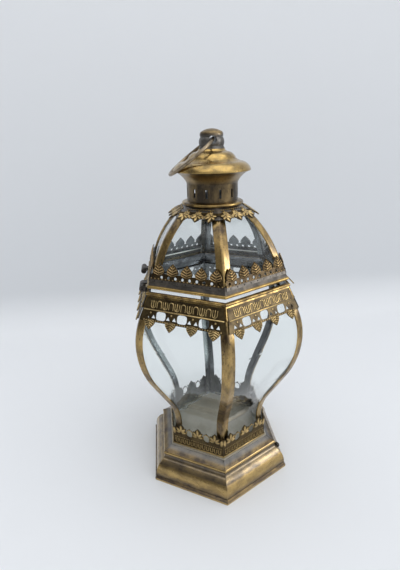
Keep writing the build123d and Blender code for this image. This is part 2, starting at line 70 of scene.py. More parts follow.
# %% Shader helpers
def add_node(tree, kind, inputs=None, **settings):
    """Add one shader node, set its properties, and fill its inputs with values or links."""
    node = tree.nodes.new(kind)
    for name, value in settings.items():
        setattr(node, name, value)
    for name, value in (inputs or {}).items():
        if isinstance(value, bpy.types.NodeSocket):
            tree.links.new(value, node.inputs[name])
        else:
            node.inputs[name].default_value = value
    return node


def calc(tree, operation, *values):
    """One step of arithmetic on values or sockets. Returns the socket with the result."""
    return add_node(tree, "ShaderNodeMath", dict(enumerate(values)), operation=operation).outputs[0]


def open_group(name, inputs, outputs):
    """Start a shader group. Returns its tree, its input sockets and the node that takes its results."""
    tree = bpy.data.node_groups.new(name, "ShaderNodeTree")
    for label, (kind, value) in inputs.items():
        socket = tree.interface.new_socket(label, in_out="INPUT", socket_type=kind)
        socket.default_value = value
    for label, kind in outputs.items():
        tree.interface.new_socket(label, in_out="OUTPUT", socket_type=kind)
    return tree, add_node(tree, "NodeGroupInput").outputs, add_node(tree, "NodeGroupOutput")


FLOAT = "NodeSocketFloat"


# %% [markdown]
# ## Patina: one wear pattern for every metal
# The lantern was painted dark, rubbed with gold and left to wear. Cloudy patches show where the gold stayed,
# fine specks where the dark coat shows through, and hammered unevenness runs under both. Two broad noises
# and a fine one give those, and every metal of the lantern shares them with its own amounts.


# %% The patina group
SPECK_FINENESS = 11.0
SPECK_EDGES = (0.56, 0.72)
SPECK_HEIGHT = 0.25


def make_patina():
    """Group of cloudy wear, fine specks and surface unevenness, in the object's own coordinates."""
    tree, given, result = open_group(
        "Patina",
        {"Scale": (FLOAT, 60.0), "Cover": (FLOAT, 0.5), "Softness": (FLOAT, 0.2), "Seed": (FLOAT, 0.0),
         "Stretch": (FLOAT, 1.0)},
        {"Wear": FLOAT, "Specks": FLOAT, "Height": FLOAT},
    )
    place = add_node(tree, "ShaderNodeTexCoord").outputs["Object"]
    shares = add_node(tree, "ShaderNodeCombineXYZ", {"X": 1.0, "Y": 1.0, "Z": given["Stretch"]}).outputs[0]
    drawn = add_node(tree, "ShaderNodeVectorMath", {0: place, 1: shares}, operation="MULTIPLY").outputs[0]
    moved = add_node(tree, "ShaderNodeVectorMath", {0: drawn, 1: given["Seed"]}, operation="ADD").outputs[0]

    def noise(scale, detail, rough):
        inputs = {"Vector": moved, "Scale": scale, "Detail": detail, "Roughness": rough}
        return add_node(tree, "ShaderNodeTexNoise", inputs).outputs["Fac"]

    def soft_step(value, low, high):
        inputs = {"Value": value, "From Min": low, "From Max": high}
        return add_node(tree, "ShaderNodeMapRange", inputs, interpolation_type="SMOOTHSTEP").outputs[0]

    uncovered = calc(tree, "SUBTRACT", 1.0, given["Cover"])
    low = calc(tree, "SUBTRACT", uncovered, given["Softness"])
    high = calc(tree, "ADD", uncovered, given["Softness"])
    fine = noise(calc(tree, "MULTIPLY", given["Scale"], SPECK_FINENESS), 3.0, 0.6)
    dents = noise(given["Scale"], 2.0, 0.4)
    made = {
        "Wear": soft_step(noise(given["Scale"], 7.0, 0.62), low, high),
        "Specks": soft_step(fine, *SPECK_EDGES),
        "Height": calc(tree, "MULTIPLY_ADD", fine, SPECK_HEIGHT, dents),
    }
    for label, socket in made.items():
        tree.links.new(socket, result.inputs[label])
    return tree


PATINA = make_patina()


def place_patina(tree, **values):
    """Put the patina group into a material with its own amounts."""
    group = add_node(tree, "ShaderNodeGroup", node_tree=PATINA)
    for label, value in values.items():
        group.inputs[label].default_value = value
    return group.outputs


# %% [markdown]
# ## Inside and outside
# Only the outside of the lantern was finished. Each sheet's inner face stayed bare grey, which shows through
# the glass on the far side. A face looks inwards where its normal points back at the lantern's axis, and both
# the normal and the place are known in the object's own coordinates.


# %% The inside group
FULLY_INSIDE = -0.5


def make_inside():
    """Group with a mask that is one on faces that look at the lantern's axis."""
    tree, given, result = open_group("Inside", {"Softness": (FLOAT, 0.15)}, {"Mask": FLOAT})
    place = add_node(tree, "ShaderNodeTexCoord").outputs
    level = add_node(tree, "ShaderNodeVectorMath", {0: place["Object"], 1: (1, 1, 0)}, operation="MULTIPLY")
    outward = add_node(tree, "ShaderNodeVectorMath", {0: level.outputs[0]}, operation="NORMALIZE")
    facing = add_node(
        tree, "ShaderNodeVectorMath", {0: outward.outputs[0], 1: place["Normal"]}, operation="DOT_PRODUCT"
    )
    edge = calc(tree, "MULTIPLY", given["Softness"], -1.0)
    mask = add_node(
        tree, "ShaderNodeMapRange",
        {"Value": facing.outputs["Value"], "From Min": edge, "From Max": FULLY_INSIDE},
    )
    tree.links.new(mask.outputs[0], result.inputs["Mask"])
    return tree


INSIDE = make_inside()

# %% [markdown]
# ## The metals
# Antique gold is three coats in one: bright rubbed gold, brown lacquer in the low spots and bare grey where
# neither held. All three are metal, so their colour lives in the reflection. A mix of colours under one
# metallic shader is enough, with roughness that follows the wear and a thin clear coat for the lacquer.


# %% Metal helpers
GOLD = (0.48, 0.32, 0.105)
BROWN = (0.055, 0.033, 0.015)
GREY = (0.185, 0.178, 0.168)
DULL_GREY = (0.080, 0.071, 0.060)
INNER_GREY = (0.23, 0.245, 0.26)
DULL_INNER_GREY = (0.10, 0.105, 0.11)
COAT_ROUGHNESS = 0.18
BUMP_DEPTH = 0.6 * MM


def mix_colors(tree, share, first, second):
    """Blend two colours by a mask."""
    mixed = add_node(tree, "ShaderNodeMix", {0: share, 6: first, 7: second}, data_type="RGBA")
    return mixed.outputs[2]


def start_material(name):
    """Empty material with a Principled shader wired to its output."""
    material = bpy.data.materials.new(name)
    material.use_nodes = True
    tree = material.node_tree
    return material, tree, tree.nodes["Principled BSDF"]


def height_mask(tree, stops):
    """Mask drawn by height, from (height in millimetres, value) pairs."""
    place = add_node(tree, "ShaderNodeTexCoord").outputs["Object"]
    height = add_node(tree, "ShaderNodeSeparateXYZ", {0: place}).outputs["Z"]
    low, high = stops[0][0], stops[-1][0]
    share = add_node(
        tree, "ShaderNodeMapRange", {"Value": height, "From Min": low * MM, "From Max": high * MM}
    )
    ramp = add_node(tree, "ShaderNodeValToRGB", {0: share.outputs[0]})
    ramp.color_ramp.elements.remove(ramp.color_ramp.elements[1])
    for number, (level, value) in enumerate(stops):
        spot = (level - low) / (high - low)
        stop = ramp.color_ramp.elements[0] if number == 0 else ramp.color_ramp.elements.new(spot)
        stop.position = spot
        stop.color = (value, value, value, 1)
    return ramp.outputs["Color"]


def finish_metal(tree, surface, color, rough, patina, bump, coat):
    """Wire colour, roughness and unevenness into a metallic shader."""
    tree.links.new(color, surface.inputs["Base Color"])
    tree.links.new(rough, surface.inputs["Roughness"])
    surface.inputs["Metallic"].default_value = 1.0
    surface.inputs["Coat Weight"].default_value = coat
    surface.inputs["Coat Roughness"].default_value = COAT_ROUGHNESS
    bumped = add_node(
        tree, "ShaderNodeBump", {"Height": patina["Height"], "Strength": bump, "Distance": BUMP_DEPTH}
    )
    tree.links.new(bumped.outputs[0], surface.inputs["Normal"])


def leave_inside_bare(tree, color, patina, shade):
    """Put bare grey on the faces that look at the lantern's axis."""
    low, high = ((*(part * shade for part in grey), 1) for grey in (DULL_INNER_GREY, INNER_GREY))
    bare = mix_colors(tree, patina["Wear"], low, high)
    turned = add_node(tree, "ShaderNodeGroup", node_tree=INSIDE)
    return mix_colors(tree, turned.outputs["Mask"], color, bare)


# %% [markdown]
# ### Rubbed gold
# The wear is cloudy on caps and drawn out along ribs. A mask by height can add gold on the beads, where a rag
# touches first, and take it away in bands between them, which on the plinth is painted shade. Another can
# leave the bare grey of a shelf.


# %% Rubbed gold and bare grey
CLOUD_SWING = 0.55
CLOUD_LOSS = 0.3
GREY_OVER_GOLD = 1.25


def rubbed_metal(name, bright, dark, cover, specks, rough, scale, seed=0.0, bump=0.25, stretch=1.0,
                 coat=0.25, gold_by_height=None, grey_by_height=None, inside=1.0):
    """Metal with a bright coat worn through to a dark one, and bare grey on its inner faces.
    A low gold by height takes gold away in bands; on the plinth those bands are painted shade.
    """
    material, tree, surface = start_material(name)
    patina = place_patina(tree, Scale=scale, Cover=cover, Softness=0.22, Seed=seed, Stretch=stretch)
    gold = patina["Wear"]
    # A low mask takes gold away in bands; on the plinth these dark bands are painted shade.
    if gold_by_height:
        gold = calc(tree, "MULTIPLY_ADD", gold, CLOUD_SWING, height_mask(tree, gold_by_height))
        gold = calc(tree, "SUBTRACT", gold, CLOUD_LOSS)
    gold = calc(tree, "MULTIPLY_ADD", calc(tree, "MULTIPLY", patina["Specks"], specks), -1.0, gold)
    gold = add_node(tree, "ShaderNodeClamp", {"Value": gold}).outputs[0]
    color = mix_colors(tree, gold, (*dark, 1), (*bright, 1))
    if grey_by_height:
        bare = mix_colors(tree, patina["Wear"], (*DULL_GREY, 1), (*GREY, 1))
        kept = calc(tree, "SUBTRACT", GREY_OVER_GOLD, gold)
        share = calc(tree, "MULTIPLY", height_mask(tree, grey_by_height), kept)
        share = add_node(tree, "ShaderNodeClamp", {"Value": share}).outputs[0]
        color = mix_colors(tree, share, color, bare)
    if inside:
        color = leave_inside_bare(tree, color, patina, inside)
    roughness = add_node(tree, "ShaderNodeMapRange", {"Value": gold, "To Min": rough[0], "To Max": rough[1]})
    finish_metal(tree, surface, color, roughness.outputs[0], patina, bump, coat)
    return material


# %% [markdown]
# The plinth's finish changes with height, in millimetres: gold on its lip, its torus and its bead, and bare
# grey on the shelf. The brown bands between are partly lacquer in the hollows and partly painted shade, dark
# bands for the creases of a profile that the sheet lacks. Its clouds are drawn out along the sides, the way a
# rag is.
# On the ribs they are drawn out upwards.

# %% Finishes of the plinth and the ribs
plinth_gold_and_shade = rubbed_metal(
    "plinth_gold_and_shade", GOLD, BROWN, cover=0.55, specks=0.6, rough=(0.42, 0.24), scale=80.0, stretch=2.6, coat=0.8,
    # Low values paint dark bands: partly lacquer, partly painted shade for creases the profile lacks.
    gold_by_height=[
        (0, 0.9), (1.6, 0.85), (2.8, 0.0), (5.0, 0.1), (8.0, 0.4), (11, 0.8), (14, 0.85), (17, 0.7),
        (19.0, 0.2), (21, 0.4), (23.5, 0.3), (26.5, 0.1), (28.0, 0.95), (30.4, 0.95), (31.2, 0.1),
        (33, 0.25), (35, 0.1),
    ],
    grey_by_height=[
        (0, 0.0), (17, 0.1), (22, 0.35), (27, 0.3), (28.2, 0.0), (32.2, 0.0), (33.6, 0.85), (35, 0.9),
    ],
)
rib_gold = rubbed_metal(
    "rib_gold", GOLD, BROWN, cover=0.51, specks=0.6, rough=(0.40, 0.24), scale=95.0, seed=1.5, stretch=0.35,
    coat=0.65,
)
collar_gold = rubbed_metal(
    "collar_gold", GOLD, BROWN, cover=0.5, specks=0.5, rough=(0.40, 0.24), scale=90.0, seed=6.0
)
print("plinth, rib and collar finishes made")

# %% [markdown]
# The lid, the knob and the chimney have more gold near one end. Their heights are read from the frame, so
# that the gold lies on the lid's rolled foot, the knob's top and the chimney's flare.

# %% Finishes of the lid, the knob and the chimney
lid_low, lid_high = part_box("lid_frame")
lid_foot = lid_low.z / MM
lid_metal = rubbed_metal(
    "lid_metal", GOLD, BROWN, cover=0.5, specks=0.4, rough=(0.62, 0.25), scale=90.0, seed=4.0, coat=0.1,
    inside=0.6,
    gold_by_height=[(lid_foot - 1, 0.8), (lid_foot + 2.6, 0.8), (lid_foot + 3.4, 0.1), (lid_foot + 12, 0.1)],
    grey_by_height=[(lid_foot - 1, 0.0), (lid_foot + 2.6, 0.0), (lid_foot + 3.2, 0.6), (lid_foot + 12, 0.6)],
)
knob_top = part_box("finial")[1].z / MM
finial_metal = rubbed_metal(
    "finial_metal", GOLD, BROWN, cover=0.42, specks=0.5, rough=(0.5, 0.28), scale=110.0, seed=7.5, inside=0.0,
    gold_by_height=[(knob_top - 30, 0.1), (knob_top - 7, 0.1), (knob_top - 3, 0.6), (knob_top, 0.75)],
    grey_by_height=[(knob_top - 30, 1.0), (knob_top - 7, 0.9), (knob_top - 3, 0.3), (knob_top, 0.2)],
)
chimney_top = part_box("chimney")[1].z / MM
chimney_brown = rubbed_metal(
    "chimney_brown", (0.34, 0.235, 0.10), (0.04, 0.029, 0.018), cover=0.45, specks=0.4, rough=(0.40, 0.28),
    scale=80.0, seed=8.0, stretch=0.5,
    gold_by_height=[
        (chimney_top - 40, 0.3), (chimney_top - 10, 0.3), (chimney_top - 7, 0.8), (chimney_top, 0.8),
    ],
)
print("lid foot, knob top, chimney top in mm:", round(lid_foot, 1), round(knob_top, 1), round(chimney_top, 1))

# %% [markdown]
# The other metals are even: a gold cap, the crown's grey sheet, the ring's tarnished wire, dark iron for the
# hinge and the screw, and a near-white tin for the bead that holds the dome's glass, its near-white a painted
# highlight along that edge.

# %% Even finishes
cap_gold = rubbed_metal(
    "cap_gold", GOLD, (0.105, 0.076, 0.04), cover=0.6, specks=0.6, rough=(0.42, 0.20), scale=120.0, seed=7.0,
    inside=0.0,
)
crown_grey = rubbed_metal(
    "crown_grey", (0.25, 0.24, 0.23), (0.12, 0.10, 0.08), cover=0.55, specks=0.4, rough=(0.5, 0.36),
    scale=90.0, seed=3.0,
)
ring_wire = rubbed_metal(
    "ring_wire", (0.40, 0.32, 0.21), (0.10, 0.072, 0.045), cover=0.5, specks=0.4, rough=(0.42, 0.28),
    scale=120.0, seed=5.0, inside=0.0,
)
dark_iron = rubbed_metal(
    "dark_iron", (0.12, 0.10, 0.085), (0.03, 0.026, 0.022), cover=0.4, specks=0.5, rough=(0.6, 0.42),
    scale=150.0, seed=9.0, inside=0.0,
)
# Near-white: a painted highlight along the edge that holds the dome glass.
tin_highlight = rubbed_metal(
    "tin_highlight", (0.92, 0.92, 0.90), (0.62, 0.62, 0.60), cover=0.6, specks=0.2, rough=(0.45, 0.35),
    scale=90.0, seed=2.5, bump=0.1, inside=0.0,
)
print("metals so far:", len(bpy.data.materials))


# %% [markdown]
# ### Pressed sheet
# On a stamped strip the rag only reached the ridges. The grooves hold dark lacquer, made darker still as
# painted shade for the shade that falls into them. The relief attribute says how high each point stands.


# %% Pressed sheet
RIDGE_EDGES = (0.35, 0.9)
PLAIN_SHEET_GOLD = 0.15
GROOVE_ROUGHNESS, RIDGE_ROUGHNESS = 0.46, 0.24
PRESSED_BUMP, PRESSED_COAT = 0.3, 0.12


def pressed_metal(name, ridge, groove_lacquer_and_shade, scale, seed=0.0, grey_by_height=None):
    """Stamped sheet: bright where the relief attribute is high, dark in grooves and on the plain sheet.
    The dark is lacquer, deepened as painted shade for the grooves.
    """
    material, tree, surface = start_material(name)
    patina = place_patina(tree, Scale=scale, Cover=0.55, Softness=0.2, Seed=seed)
    relief = add_node(tree, "ShaderNodeAttribute", attribute_name="relief")
    raised = add_node(
        tree, "ShaderNodeMapRange",
        {"Value": relief.outputs["Fac"], "From Min": RIDGE_EDGES[0], "From Max": RIDGE_EDGES[1]},
        interpolation_type="SMOOTHSTEP",
    )
    share = calc(tree, "MULTIPLY", raised.outputs[0], calc(tree, "MULTIPLY_ADD", patina["Wear"], 0.5, 0.5))
    share = calc(tree, "MAXIMUM", share, calc(tree, "MULTIPLY", patina["Wear"], PLAIN_SHEET_GOLD))
    color = mix_colors(tree, share, (*groove_lacquer_and_shade, 1), (*ridge, 1))
    if grey_by_height:
        bare = mix_colors(tree, patina["Wear"], (*DULL_GREY, 1), (*GREY, 1))
        color = mix_colors(tree, height_mask(tree, grey_by_height), color, bare)
    color = leave_inside_bare(tree, color, patina, 1.0)
    roughness = add_node(
        tree, "ShaderNodeMapRange", {"Value": share, "To Min": GROOVE_ROUGHNESS, "To Max": RIDGE_ROUGHNESS}
    )
    finish_metal(tree, surface, color, roughness.outputs[0], patina, PRESSED_BUMP, PRESSED_COAT)
    return material


# Dark lacquer, made darker still as painted shade for the grooves; the plain sheet shares it.
GROOVE_LACQUER_AND_SHADE = (0.018, 0.011, 0.006)
pressed_leaf = pressed_metal("pressed_leaf", (0.64, 0.46, 0.20), GROOVE_LACQUER_AND_SHADE, scale=140.0)
# The gallery's dark is also lacquer deepened as painted shade.
pressed_gallery = pressed_metal("pressed_gallery", (0.56, 0.40, 0.17), (0.03, 0.019, 0.008), scale=140.0)
pressed_crest = pressed_metal(
    "pressed_crest", (0.48, 0.32, 0.135), GROOVE_LACQUER_AND_SHADE, scale=140.0, seed=2.0,
    grey_by_height=[(lid_foot, 0.6), (lid_foot + 8.4, 0.6), (lid_foot + 9.4, 0.0), (lid_foot + 30, 0.0)],
)
print("pressed sheets:", pressed_leaf.name, pressed_gallery.name, pressed_crest.name)

# %% [markdown]
# ## Glass and the floor pan
# Bent window glass is clear, faintly green-blue and a little wavy. The panes are real sheets with two faces,
# so a plain transmission shader bends light as they do. Lamps must reach the floor inside, and a shadow ray
# can't pass a refracting sheet, so shadow rays see a clear surface instead. The pan is dull grey sheet.


# %% Glass and pan
def clear_glass():
    """Wavy window glass that lets lamp light through."""
    material, tree, surface = start_material("window_glass")
    surface.inputs["Base Color"].default_value = (0.965, 0.985, 0.98, 1)
    surface.inputs["Roughness"].default_value = 0.015
    surface.inputs["IOR"].default_value = 1.3
    surface.inputs["Transmission Weight"].default_value = 1.0
    place = add_node(tree, "ShaderNodeTexCoord").outputs["Object"]
    waves = add_node(tree, "ShaderNodeTexNoise", {"Vector": place, "Scale": 26.0, "Detail": 1.0})
    bumped = add_node(
        tree, "ShaderNodeBump", {"Height": waves.outputs["Fac"], "Strength": 0.06, "Distance": 0.002}
    )
    tree.links.new(bumped.outputs[0], surface.inputs["Normal"])
    through = add_node(tree, "ShaderNodeBsdfTransparent", {"Color": (0.93, 0.96, 0.95, 1)})
    ray = add_node(tree, "ShaderNodeLightPath")
    either = add_node(
        tree, "ShaderNodeMixShader",
        {0: ray.outputs["Is Shadow Ray"], 1: surface.outputs[0], 2: through.outputs[0]},
    )
    tree.links.new(either.outputs[0], tree.nodes["Material Output"].inputs["Surface"])
    return material


window_glass = clear_glass()
pan_grey = rubbed_metal(
    "pan_grey", (0.47, 0.43, 0.355), (0.37, 0.34, 0.28), cover=0.5, specks=0.15, rough=(0.46, 0.40),
    scale=30.0, seed=2.0, bump=0.1, inside=0.0,
)
pan_grey.node_tree.nodes["Principled BSDF"].inputs["Metallic"].default_value = 0.3

# %% [markdown]
# ## A finish for every node
# Nodes of one kind differ only in the number at the end of their names, so one table serves them all.

# %% Give every node its finish
FINISHES = {
    "plinth_side": plinth_gold_and_shade, "plinth_screw": dark_iron, "floor_pan": pan_grey, "gallery": pressed_gallery,
    "body_pane": window_glass, "dome_pane": window_glass, "body_rib": rib_gold, "dome_rib": rib_gold,
    "body_collar": collar_gold, "collar_lace": pressed_leaf, "lid_frame": lid_metal,
    "lid_crest": pressed_crest, "crown_leaves": pressed_leaf, "crown": crown_grey,
    "chimney_flange": collar_gold, "chimney": chimney_brown, "vent_cap": cap_gold, "finial": finial_metal,
    "carrying_ring": ring_wire, "hinge_body_knuckles": dark_iron, "hinge_lid_knuckles": dark_iron,
    "hinge_pins": dark_iron, "lift_tab": collar_gold,
}
for name, node in nodes.items():
    kind = name.rstrip("_123456")
    node.data.materials.clear()
    node.data.materials.append(FINISHES[kind])
print("finishes:", len(set(FINISHES.values())))

# %% [markdown]
# ## Pressed relief
# The strips of leaves are stamped from thin sheet. Their outlines and holes come with the frame, but a
# stamping tool also raises veins, hooks and beads. Each motif is modelled once, flat on the floor: X
# runs along the strip, Y up it and Z out of it. Copies are then laid on every side. Each point remembers how
# high it stood in the motif, so that the finish can be bright on the ridges and dark in the grooves.
# That dark in the grooves is lacquer, made darker as painted shade.


# %% Tools for modelling by hand
def start_motif(name):
    """Name the primitive that was just added and open it for editing, with nothing selected."""
    motif = bpy.context.object
    motif.name = name
    bpy.ops.object.mode_set(mode="EDIT")
    bpy.ops.mesh.select_all(action="DESELECT")
    return motif


def choose(motif, kind, test):
    """Select the faces or edges of a mesh whose middle passes a test, and stay in edit mode."""
    bpy.ops.object.mode_set(mode="EDIT")
    bpy.ops.mesh.select_mode(type=kind)
    bpy.ops.mesh.select_all(action="DESELECT")
    bpy.ops.object.mode_set(mode="OBJECT")
    points = motif.data.vertices
    for item in motif.data.edges if kind == "EDGE" else motif.data.polygons:
        middle = sum((points[corner].co for corner in item.vertices), Vector()) / len(item.vertices)
        item.select = bool(test(middle))
    bpy.ops.object.mode_set(mode="EDIT")


def close_motif(motif, smooth_angle=40):
    """Leave edit mode, turn faces outwards, shade the motif and store each point's height in it."""
    bpy.ops.object.mode_set(mode="EDIT")
    bpy.ops.mesh.select_all(action="SELECT")
    bpy.ops.mesh.remove_doubles(threshold=1e-5)
    bpy.ops.mesh.normals_make_consistent(inside=False)
    bpy.ops.object.mode_set(mode="OBJECT")
    bpy.ops.object.shade_smooth_by_angle(angle=radians(smooth_angle))
    top = max(point.co.z for point in motif.data.vertices)
    relief = motif.data.attributes.new("relief", "FLOAT", "POINT")
    for point in motif.data.vertices:
        relief.data[point.index].value = max(point.co.z, 0) / top
    return motif


# %% [markdown]
# ### A veined leaf
# The leaf starts as a flat grid. Its rows are drawn in to a pointed outline, widest a third of the way up,
# and its points are lifted to a raised rim, a spine and slanted veins, as a stamping tool would lift the
# sheet. The edge is then pulled down into a skirt and closed underneath, so that the leaf is a solid.

# %% Veined leaf, one unit long and wide
LEAF_COLUMNS = 20
LEAF_ROWS = 40
LEAF_SWELL = 0.63
VEINS = 5
VEIN_SLANT = 0.22
VEIN_SHARPNESS = 1.6
RIM_PLACE, RIM_WIDTH, RIM_HEIGHT = 0.9, 0.1, 0.9
SPINE_WIDTH, SPINE_HEIGHT = 0.14, 0.8
FOOT_FADE, TIP_FADE = 0.06, 0.04
SKIRT = 0.6


def leaf_height(across, along):
    """Height of the relief at a place from -1 to 1 across the leaf and 0 to 1 along it."""
    off = abs(across)
    rim = max(0.0, 1 - abs(off - RIM_PLACE) / RIM_WIDTH)
    spine = max(0.0, 1 - off / SPINE_WIDTH)
    vein = (0.5 + 0.5 * cos(2 * pi * VEINS * (along - VEIN_SLANT * off))) ** VEIN_SHARPNESS
    side_fade = min(1.0, (1 - off) / RIM_WIDTH)
    end_fade = min(1.0, along / FOOT_FADE, (1 - along) / TIP_FADE)
    return max(RIM_HEIGHT * rim, SPINE_HEIGHT * spine, vein * side_fade) * end_fade


def veined_leaf():
    """Leaf with a raised rim, a spine and slanted veins, its stalk at the origin."""
    bpy.ops.mesh.primitive_grid_add(x_subdivisions=LEAF_COLUMNS, y_subdivisions=LEAF_ROWS, size=2)
    leaf = start_motif("veined_leaf")
    bpy.ops.object.mode_set(mode="OBJECT")
    for point in leaf.data.vertices:
        across, along = point.co.x, (point.co.y + 1) / 2
        wide = sin(pi * along**LEAF_SWELL) / 2
        point.co = (across * wide, along, leaf_height(across, along))
    choose(leaf, "FACE", lambda middle: True)
    bpy.ops.mesh.remove_doubles(threshold=1e-4)
    bpy.ops.mesh.region_to_loop()
    bpy.ops.mesh.extrude_edges_move(TRANSFORM_OT_translate={"value": (0, 0, -SKIRT)})
    bpy.ops.mesh.edge_face_add()
    return close_motif(leaf)


# %% [markdown]
# ### Hooks, bars, petals and beads
# The band over the lace has a row of hooks, each a bent rod with two legs. Half a ring gives the bend, and
# its two open ends are pulled up into the legs. A bar is a round rod with rounded ends, a petal is a ball
# drawn out, and a bead is a ball pressed flat.


# %% Hook, bar, petal and bead, in metres
def hook(bend, rod, leg):
    """U-shaped raised rod that opens upwards, its bend's middle at the origin."""
    bpy.ops.mesh.primitive_torus_add(
        major_radius=bend, minor_radius=rod, major_segments=16, minor_segments=8, generate_uvs=False
    )
    shape = start_motif("hook")
    bpy.ops.mesh.select_all(action="SELECT")
    bpy.ops.mesh.bisect(plane_co=(0, 0, 0), plane_no=(0, 1, 0), clear_outer=True)
    choose(shape, "EDGE", lambda middle: abs(middle.y) < 1e-6)
    bpy.ops.mesh.extrude_edges_move(TRANSFORM_OT_translate={"value": (0, leg, 0)})
    for side in (-1, 1):
        choose(shape, "EDGE", lambda middle: middle.y > leg - 1e-6 and middle.x * side > 0)
        bpy.ops.mesh.edge_face_add()
    return close_motif(shape, 60)


def bar(name, length, radius, turn):
    """Round rod about the origin, turned about one axis so that it lies along or up the strip."""
    bpy.ops.mesh.primitive_cylinder_add(vertices=10, radius=radius, depth=length, rotation=turn)
    shape = start_motif(name)
    bpy.ops.object.mode_set(mode="OBJECT")
    bpy.ops.object.transform_apply(location=True, rotation=True, scale=True)
    choose(shape, "FACE", lambda middle: middle.length > 0.4 * length)
    bpy.ops.mesh.inset(thickness=0.4 * radius)
    bpy.ops.mesh.remove_doubles(threshold=1e-7)
    reach = 1 + radius / length
    bpy.ops.transform.resize(value=(reach, reach, 1), center_override=(0, 0, 0))
    return close_motif(shape, 60)


def lobe(length, width, thick):
    """Petal of a palmette: a ball drawn out along the strip, its inner end at the origin."""
    bpy.ops.mesh.primitive_uv_sphere_add(segments=12, ring_count=8, radius=0.5, rotation=(pi / 2, 0, 0))
    shape = start_motif("lobe")
    bpy.ops.object.mode_set(mode="OBJECT")
    bpy.ops.object.transform_apply(location=True, rotation=True, scale=True)
    bpy.ops.object.mode_set(mode="EDIT")
    bpy.ops.mesh.select_all(action="SELECT")
    bpy.ops.transform.translate(value=(0, 0.5, 0))
    bpy.ops.transform.resize(value=(width, length, thick), center_override=(0, 0, 0))
    return close_motif(shape, 80)


def bead(radius, flatness):
    """Round bead pressed flat, its middle at the origin."""
    bpy.ops.mesh.primitive_uv_sphere_add(segments=10, ring_count=6, radius=radius)
    shape = start_motif("bead")
    bpy.ops.mesh.select_all(action="SELECT")
    bpy.ops.transform.resize(value=(1, 1, flatness))
    return close_motif(shape, 80)


# %% [markdown]
# ### Laying copies on the lantern
# A strip's plane is known from the node that carries it: its foot is the node's outer lower corner, and it
# leans in by the angle that the sheet was bent to. One helper gives that plane, and another copies a motif to
# its places on all six sides, so that each strip ends as one piece with its own mesh.

# %% Planes and copies
SIDES = 6
# In a hexagon, half a side's length and the reach of a corner, over the distance to the middle of a side.
HALF_SIDE = 0.577
CORNER_REACH = 1.155
PETALS = ((-82, 0.72), (-42, 0.9), (0, 1.15), (42, 0.9), (82, 0.72))


def strip_plane(half, height, lean):
    """Matrix from a motif's flat frame to the +X side's sheet, leaning in by an angle in degrees."""
    slope = radians(lean)
    along, up = Vector((0, 1, 0)), Vector((-sin(slope), 0, cos(slope)))
    out = Vector((cos(slope), 0, sin(slope)))
    turned = Matrix((along, up, out)).transposed().to_4x4()
    return Matrix.Translation((half, 0, height)) @ turned


def even_row(count, pitch):
    """Places of an evenly spaced row about the middle of a side."""
    return [(number - (count - 1) / 2) * pitch for number in range(count)]


def at(across, up, size=(1, 1, 1), out=0.0, turn=0.0):
    """Matrix that sizes a motif, turns it in its plane and moves it along the strip, in metres."""
    scale = Matrix.Diagonal((*size, 1))
    return Matrix.Translation((across, up, out)) @ Matrix.Rotation(radians(turn), 4, "Z") @ scale


def fan(across, up, size=1.0, down=False):
    """Matrices of a palmette's five petals about one place."""
    middle = 180 if down else 0
    return [at(across, up, (size, size * reach, size), turn=middle + spread) for spread, reach in PETALS]


def fans(places, up, size, down=False):
    """Matrices of a row of palmettes."""
    return [matrix for place in places for matrix in fan(place, up, size, down)]


def row(places, up, size=(1, 1, 1), out=0.0, turn=0.0):
    """Matrices of a row of one motif."""
    return [at(place, up, size, out, turn) for place in places]


def around(number):
    """Turn about the lantern's axis that brings the first side to another one."""
    return Matrix.Rotation(radians(number * 360 / SIDES), 4, "Z")


def copies(motif, matrices):
    """New objects that copy a motif's mesh through each matrix."""
    made = []
    for matrix in matrices:
        copy = bpy.data.objects.new(motif.name, motif.data.copy())
        bpy.context.collection.objects.link(copy)
        copy.data.transform(matrix)
        made.append(copy)
    return made


def join_pieces(made, name):
    """Join objects into one piece, at the origin, under one name."""
    bpy.ops.object.select_all(action="DESELECT")
    for piece in made:
        piece.select_set(True)
    bpy.context.view_layer.objects.active = made[0]
    bpy.ops.object.join()
    made[0].name = name
    made[0].data.name = name
    return made[0]


def dress_sides(name, body, finish, plane, motifs):
    """Lay motifs, given as (motif, matrices), on all six sides, as one piece a side that rides on a body."""
    for number in range(SIDES):
        made = []
        for motif, matrices in motifs:
            made += copies(motif, [around(number) @ plane @ matrix for matrix in matrices])
        piece = join_pieces(made, f"{name}_{number + 1}")
        piece.data.materials.clear()
        piece.data.materials.append(finish)
        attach(piece, body)
    print(name, "faces on a side:", len(piece.data.polygons))


# %% [markdown]
# ### The motifs
# A few motifs serve all the strips: a leaf, hooks in three sizes, a stem, a bead and a petal.

# %% Motifs
ALONG, UPRIGHT = (0, pi / 2, 0), (pi / 2, 0, 0)
leaf_motif = veined_leaf()
hook_motif = hook(bend=2.1 * MM, rod=0.5 * MM, leg=4.2 * MM)
small_hook_motif = hook(bend=1.3 * MM, rod=0.56 * MM, leg=3.6 * MM)
arch_motif = hook(bend=3.3 * MM, rod=0.55 * MM, leg=2.4 * MM)
stem_motif = bar("stem", 5.2 * MM, 0.5 * MM, UPRIGHT)
bead_motif = bead(radius=0.75 * MM, flatness=0.7)
lobe_motif = lobe(length=6.6 * MM, width=2.5 * MM, thick=1.5 * MM)
print("leaf faces:", len(leaf_motif.data.polygons), "hook faces:", len(hook_motif.data.polygons))

# %% [markdown]
# ### The lid's cresting
# Five leaves stand on each side of the lid, over a row of holes. Below them is a row of dark dots on the bare
# wall.

